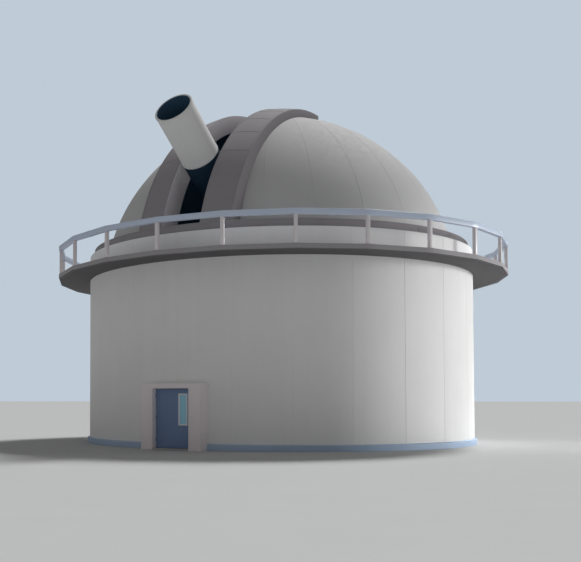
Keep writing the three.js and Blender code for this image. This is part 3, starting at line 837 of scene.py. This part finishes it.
def add_ring_plate(bm, angle, radius, low, high):
    height = high - low
    stations = []
    for k in range(RING_PLATE_STEPS + 1):
        at = angle + RING_PLATE_ANGLE * (2 * k / RING_PLATE_STEPS - 1)
        stations.append((on_circle(radius, at, (low + high) / 2), on_circle(1, at, 0), UP))
    strip(bm, stations, height * RING_PLATE_SHARE, RING_PLATE_THICKNESS)
    face = radius + RING_PLATE_THICKNESS
    for side in (-RING_BOLT_ANGLE, RING_BOLT_ANGLE):
        outward = on_circle(1, angle + side, 0)
        for share in RING_BOLT_SHARES:
            place = on_circle(face, angle + side, low + height * share)
            bolt(bm, place, outward, RING_BOLT_WIDTH, RING_BOLT_HEIGHT)


# Dome skin

def cap_arc(radius, centre, foot):
    """Radius and height points up a sphere from its foot to its top."""
    low = math.asin((foot - centre) / radius)
    climbs = [low + (math.pi / 2 - low) * i / SHELL_STEPS for i in range(SHELL_STEPS + 1)]
    return [(radius * math.cos(climb), centre + radius * math.sin(climb)) for climb in climbs]


def make_shell():
    foot = ring_high.z
    outer = cap_arc(shell_radius, shell_centre, foot)
    inner = cap_arc(shell_radius - SHELL_THICKNESS, shell_centre, foot)
    slit = block(
        (-skin_edge, -drum_radius - OVERSHOOT, foot - OVERSHOOT),
        (skin_edge, 0, shell_high.z + OVERSHOOT),
    )
    bm = cut(turned(outer + inner[::-1]), slit)
    reach = shell_radius - SHELL_THICKNESS / 2
    paint_faces(bm, 1, lambda face: (face.calc_center_median() - shell_middle).length < reach)
    nodes = [node for node in frame["nodes"] if node.startswith("dome_shell")]
    piece("dome_skin", bm, "dome", [dome_paint, lining_paint], nodes)
    piece("dome_seams", seam_mesh(), "dome", dome_paint, smooth=STRIP_ANGLE)


def on_shell(angle, climb):
    """A point on the shell and the way out of it there."""
    flat, rise = shell_radius * math.cos(climb), shell_radius * math.sin(climb)
    point = on_circle(flat, angle, rise) + shell_middle
    return point, (point - shell_middle).normalized()


def seam_mesh():
    """Cover strips over the joints between the shell's sheets."""
    bm = bmesh.new()
    foot = math.asin((ring_high.z - shell_centre) / shell_radius)
    for i in range(GORES):
        add_upright_seam(bm, FULL_TURN * (i + 0.5) / GORES, foot)
    add_level_seam(bm, foot + SEAM_FOOT_CLIMB, SEAM_FOOT_WIDTH)
    add_level_seam(bm, SEAM_CROWN, SEAM_CROWN_WIDTH)
    return settled(bm)


def add_upright_seam(bm, angle, foot):
    """A cover strip from the shell's foot up to its crown, or up to the bands in front."""
    across = on_circle(1, angle + math.pi / 2, 0)
    stations = []
    for k in range(SEAM_STEPS + 1):
        climb = foot + (SEAM_CROWN - foot) * k / SEAM_STEPS
        point, outward = on_shell(angle, climb)
        if point.y < 0 and abs(point.x) < SEAM_CLEAR:
            break
        stations.append((point, outward, across))
    if len(stations) > 2:
        strip(bm, stations, SEAM_WIDTH, SEAM_HEIGHT)


def add_level_seam(bm, climb, width):
    """A level cover strip round the shell, left out between the bands."""
    radius = shell_radius * math.cos(climb)
    start = math.asin(min(1.0, SEAM_CLEAR / radius))
    stations = []
    for k in range(SEAM_RING_STEPS + 1):
        angle = start + (FULL_TURN - 2 * start) * k / SEAM_RING_STEPS
        point, outward = on_shell(angle, climb)
        across = outward.cross(on_circle(1, angle + math.pi / 2, 0))
        stations.append((point, outward, across))
    strip(bm, stations, width, SEAM_HEIGHT)


# Slit bands

def on_band(x, reach, climb):
    """A point that far from the line along X that the bands turn round. The climb is the angle
    up from the level in front."""
    return Vector((x, -reach * math.cos(climb), band_centre + reach * math.sin(climb)))


def out_of_band(point):
    return (point - band_middle).normalized()


def band_reach(x):
    """How far the bands' outer face lies from their turning line."""
    return math.sqrt(band_radius ** 2 - x ** 2)


def shell_reach(x, climb, radius=shell_radius):
    """How far the shell's face, or a smaller sphere with its middle, lies from that line."""
    drop = (band_centre - shell_centre) * math.sin(climb)
    flat = (band_centre - shell_centre) ** 2 + x ** 2 - radius ** 2
    return -drop + math.sqrt(drop ** 2 - flat)


def band_outline(climb):
    """A band's section: x and reach from its cheek, over its lips and sunk face, to the shell."""
    cheek_x = slit_half + CHEEK_WIDTH
    low_x, high_x = slit_half + BAND_LIP, band_edge - BAND_LIP
    inside = shell_reach(0, climb, CHEEK_RADIUS)
    outline = [(cheek_x, shell_reach(cheek_x, climb)), (cheek_x, inside), (slit_half, inside)]
    outline += [(slit_half, band_reach(slit_half)), (low_x, band_reach(low_x))]
    for k in range(BAND_FACE_STEPS + 1):
        x = low_x + (high_x - low_x) * k / BAND_FACE_STEPS
        outline.append((x, band_reach(x) - BAND_RECESS))
    outline += [(high_x, band_reach(high_x)), (band_edge, band_reach(band_edge))]
    outline.append((band_edge, shell_reach(band_edge, climb)))
    return softened(outline, BAND_EDGE)


def band_mesh(side):
    """A band from its top down to the ring, on the side where side is 1 or -1."""
    bm = bmesh.new()
    rows = []
    for i in range(BAND_STEPS + 1):
        climb = BAND_LOWEST + (math.pi / 2 - BAND_LOWEST) * i / BAND_STEPS
        outline = band_outline(climb)
        rows.append([bm.verts.new(on_band(side * x, reach, climb)) for x, reach in outline])
    bridge(bm, rows)
    close_ends(bm, rows)
    cut_level(bm, ring_high.z)
    return settled(bm)


def cut_level(bm, height):
    """Takes off what is under a height and closes the cut."""
    plane = bmesh.ops.bisect_plane(
        bm, geom=[*bm.verts, *bm.edges, *bm.faces], plane_co=UP * height, plane_no=-UP,
        clear_outer=True,
    )
    rim = [e for e in plane["geom_cut"] if isinstance(e, bmesh.types.BMEdge)]
    bmesh.ops.holes_fill(bm, edges=rim)


def band_straps(side):
    """Straps over the joints across a band, and bolts along its lips."""
    bm = bmesh.new()
    for i in range(STRAPS):
        climb = STRAP_LOWEST + (STRAP_HIGHEST - STRAP_LOWEST) * i / (STRAPS - 1)
        add_strap(bm, side, climb)
    for i in range(LIP_BOLTS):
        climb = LIP_BOLT_LOWEST + LIP_BOLT_RANGE * i / (LIP_BOLTS - 1)
        for x in (slit_half + BAND_LIP / 2, band_edge - BAND_LIP / 2):
            place = on_band(side * x, band_reach(x), climb)
            bolt(bm, place, out_of_band(place), LIP_BOLT_WIDTH, LIP_BOLT_HEIGHT)
    return settled(bm)


def add_strap(bm, side, climb):
    low_x, high_x = slit_half + BAND_LIP, band_edge - BAND_LIP
    along = Vector((0, math.sin(climb), math.cos(climb)))
    stations = []
    for k in range(STRAP_STEPS + 1):
        x = low_x + (high_x - low_x) * k / STRAP_STEPS
        outward = out_of_band(on_band(side * x, band_reach(x), climb))
        stations.append((on_band(side * x, band_reach(x) - BAND_RECESS, climb), outward, along))
    strip(bm, stations, STRAP_WIDTH, STRAP_HEIGHT)


# Faces of the cheek, which take the painted light.
def on_cheek(face):
    return abs(face.calc_center_median().x) < slit_half + CHEEK_TOLERANCE


def make_bands():
    for side, name in ((1, "right"), (-1, "left")):
        bm = band_mesh(side)
        # The cheek faces take the lighter paint: painted light in the slit.
        paint_faces(bm, 1, on_cheek)
        finish = [band_paint, cheek_painted_light]
        piece(f"slit_band_cover_{name}", bm, "dome", finish, [f"slit_band_{name}"])
        piece(
            f"slit_band_straps_{name}", band_straps(side), "dome", band_paint,
            smooth=STRIP_ANGLE,
        )
    refined("slit_head", "plate", HEAD_ARRIS, "dome", band_paint)


# Telescope, drawn upright on its own axis with the pivot at the origin

def tilted(bm):
    """From upright to the rest elevation, on the pivot."""
    turn = Matrix.Rotation(math.pi / 2 - REST_ELEVATION, 4, "X")
    bmesh.ops.transform(bm, matrix=Matrix.Translation(pivot) @ turn, verts=bm.verts)
    return bm


def in_bore(face):
    """Whether a face lies inside the tube, whose bore is wider behind the lip at its mouth."""
    behind_lip = face.calc_center_median().z < TUBE_FRONT - MOUTH_LIP / 2
    bore = TUBE_BORE if behind_lip else MOUTH_RADIUS
    return from_axis(face) < bore + FACE_TOLERANCE


def make_tube():
    profile = softened([
        (TUBE_BORE, TUBE_REAR), (TUBE_RADIUS, TUBE_REAR), (TUBE_RADIUS, PAINTED_SHADE_REACH),
        (TUBE_RADIUS, TUBE_FRONT), (MOUTH_RADIUS, TUBE_FRONT),
        (MOUTH_RADIUS, TUBE_FRONT - MOUTH_LIP), (TUBE_BORE, TUBE_FRONT - MOUTH_LIP),
        (TUBE_BORE, PAINTED_SHADE_REACH),
    ], TUBE_EDGE)
    bm = turned(profile, segments=TUBE_SEGMENTS)
    # Faces behind this reach take the near-black paint: painted shade on the tube inside the dome.
    paint_faces(bm, 1, lambda face: face.calc_center_median().z < PAINTED_SHADE_REACH)
    paint_faces(bm, 2, in_bore)
    finish = [tube_paint, tube_painted_shade, bore_paint]
    piece("telescope_tube", tilted(bm), "telescope", finish, ["telescope_barrel"])


def hoop(radius, place, half, proud):
    """A raised hoop round a tube, or with a negative height a rib inside it."""
    sunk = radius - math.copysign(HOOP_SUNK, proud)
    crest = radius + proud
    profile = softened([
        (sunk, place - half), (crest, place - half), (crest, place + half), (sunk, place + half),
    ], HOOP_EDGE)
    return turned(profile, segments=TUBE_SEGMENTS)


def make_telescope():
    make_tube()
    hoops = join(*(hoop(TUBE_RADIUS, place, HOOP_HALF, HOOP_PROUD) for place in HOOP_PLACES))
    piece("telescope_hoops", tilted(hoops), "telescope", tube_paint)
    baffles = join(*(hoop(TUBE_BORE, place, BAFFLE_HALF, -BAFFLE_DEPTH) for place in BAFFLE_PLACES))
    piece("telescope_baffles", tilted(baffles), "telescope", bore_paint)
    for node in ("mirror_cell", "trunnion_collar"):
        refined(node, "casting", CASTING_ARRIS, "telescope", mount_paint)
    for node in ("fork_base", "fork_arm_left", "fork_arm_right"):
        refined(node, "casting", CASTING_ARRIS, "fork_mount", mount_paint)


# Door

def make_door():
    refined("door_leaf", "finished", LEAF_ARRIS, "door", door_paint)
    refined("door_window_frame", "finished", WINDOW_ARRIS, "door", frame_paint)
    refined("door_handle", "finished", HANDLE_ARRIS, "door", handle_steel)
    for hinge in numbered("door_hinge", HINGE_NODES):
        refined(hinge, "finished", HINGE_ARRIS, "door", door_paint)
    repaint("door_window_glass", glass_tint)


# Stage, light and camera

def aim(made, axis, direction):
    """Turns an object so that its axis points in a direction."""
    made.rotation_mode = "QUATERNION"
    made.rotation_quaternion = direction.to_track_quat(axis, "Y")


def make_floor():
    bm = bmesh.new()
    bmesh.ops.create_circle(bm, cap_ends=True, radius=FLOOR_RADIUS, segments=FLOOR_SEGMENTS)
    floor = added("stage_floor", meshed("stage_floor", bm))
    finish = coated("floor", FLOOR_COLOUR, roughness=0.9, mottle=0.01, grain=0.05, depth=0.001)
    floor.data.materials.append(finish)


def make_key_light():
    lamp = bpy.data.lights.new("key", "SUN")
    lamp.energy = KEY_STRENGTH
    lamp.angle = KEY_ANGLE
    towards = on_circle(math.cos(KEY_ELEVATION), KEY_AZIMUTH, math.sin(KEY_ELEVATION))
    aim(added("key", lamp), "Z", towards)


def make_side_light():
    """A low soft box beside the building, no higher than the balcony."""
    lamp = bpy.data.lights.new("side", "AREA")
    lamp.shape = "RECTANGLE"
    lamp.size, lamp.size_y = SIDE_SIZE
    lamp.spread = SIDE_SPREAD
    lamp.energy = SIDE_POWER
    side = added("side", lamp)
    place = on_circle(SIDE_DISTANCE, SIDE_AZIMUTH, SIDE_HEIGHT)
    side.location = place + on_circle(SIDE_OFFSET, SIDE_AZIMUTH - math.pi / 2, 0)
    aim(side, "Z", on_circle(1, SIDE_AZIMUTH, math.tan(SIDE_TILT)))
    side.visible_camera = False


def make_studio():
    """An even white fill, with a pale blue backdrop that only the camera sees."""
    world = bpy.data.worlds.new("studio")
    bpy.context.scene.world = world
    world.use_nodes = True
    tree = world.node_tree
    fill = tree.nodes["Background"]
    fill.inputs["Color"].default_value = (1.0, 1.0, 1.0, 1.0)
    fill.inputs["Strength"].default_value = FILL_STRENGTH
    backdrop = tree.nodes.new("ShaderNodeBackground")
    backdrop.inputs["Color"].default_value = (*BACKDROP, 1.0)
    ray = tree.nodes.new("ShaderNodeLightPath")
    mix = tree.nodes.new("ShaderNodeMixShader")
    tree.links.new(ray.outputs["Is Camera Ray"], mix.inputs["Fac"])
    tree.links.new(fill.outputs["Background"], mix.inputs[1])
    tree.links.new(backdrop.outputs["Background"], mix.inputs[2])
    tree.links.new(mix.outputs["Shader"], tree.nodes["World Output"].inputs["Surface"])


def make_camera():
    lens = bpy.data.cameras.new("camera")
    lens.sensor_width = SENSOR_MM
    lens.lens = LENS_MM
    lens.shift_x = SHIFT_X
    lens.shift_y = SHIFT_Y
    lens.clip_end = 2 * FLOOR_RADIUS
    camera = added("camera", lens)
    camera.location = on_circle(CAMERA_DISTANCE, CAMERA_AZIMUTH, CAMERA_HEIGHT)
    aim(camera, "-Z", on_circle(-math.cos(AIM_PITCH), AIM_AZIMUTH, math.sin(AIM_PITCH)))
    bpy.context.scene.camera = camera


bpy.context.scene.view_settings.view_transform = "Standard"
make_camera()
make_key_light()
make_side_light()
make_studio()
make_floor()
make_drum_wall()
make_plinth()
make_portal()
make_deck()
make_rail()
make_base_ring()
make_shell()
make_bands()
make_telescope()
make_door()
make_concrete()
repaint("dome_track", track_steel)
